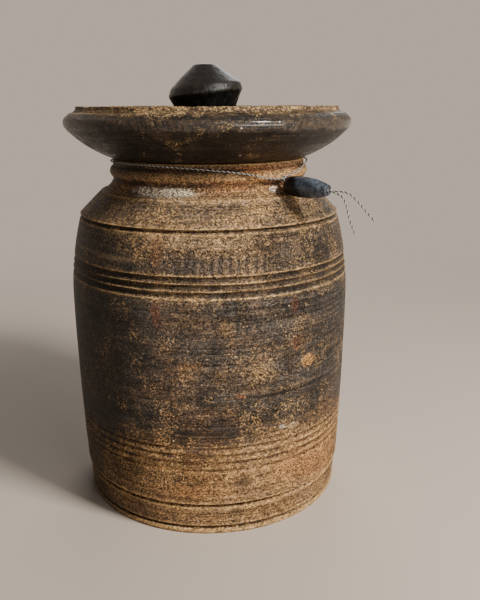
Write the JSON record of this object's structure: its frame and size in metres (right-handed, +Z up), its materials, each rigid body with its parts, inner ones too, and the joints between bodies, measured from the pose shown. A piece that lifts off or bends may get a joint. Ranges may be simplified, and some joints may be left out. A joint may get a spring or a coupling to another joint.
{
  "type": "lidded wooden pot",
  "caption": "Turned wooden pot with a ringed belly, flared neck and rolled rim, a dished lift-off lid with a knob, and a twine loop round the neck that carries a faceted bead.",
  "frame": {"origin": "middle of the foot, on the surface that the pot stands on", "axes": "+Z up along the turning axis; the pictured front faces -Y, and the bead hangs between -Y and +X"},
  "size_m": [0.2615, 0.2588, 0.3953],
  "materials": {
    "pot_wood": "worn dark brown with gritty ochre and grey patina, satin",
    "lid_wood": "very dark brown, waxed and glossy, worn ochre on the lip",
    "knob_wood": "near black, smooth and waxed",
    "bead_wood": "dark blue-grey, matt with one polished flat",
    "twine": "two-ply twisted twine, one dark ply and one pale"
  },
  "bodies": {
    "pot": {"pot_body": "pot_wood"},
    "lid": {"lid": "lid_wood", "knob": "knob_wood"},
    "neck_twine": {"cord_loop": "twine", "neck_knot": "twine", "strand_long": "twine", "strand_short": "twine", "tail_knot": "twine", "pendant_bead": "bead_wood"}
  },
  "joints": [
    {"name": "lid_lift", "type": "slide", "parent": "pot", "child": "lid", "axis": [0, 0, 1], "range_m": [0, 0.1]},
    {"name": "cord_turn", "type": "hinge", "parent": "pot", "child": "neck_twine", "pos_m": [0, 0, 0.3], "axis": [0, 0, 1], "continuous": true}
  ]
}
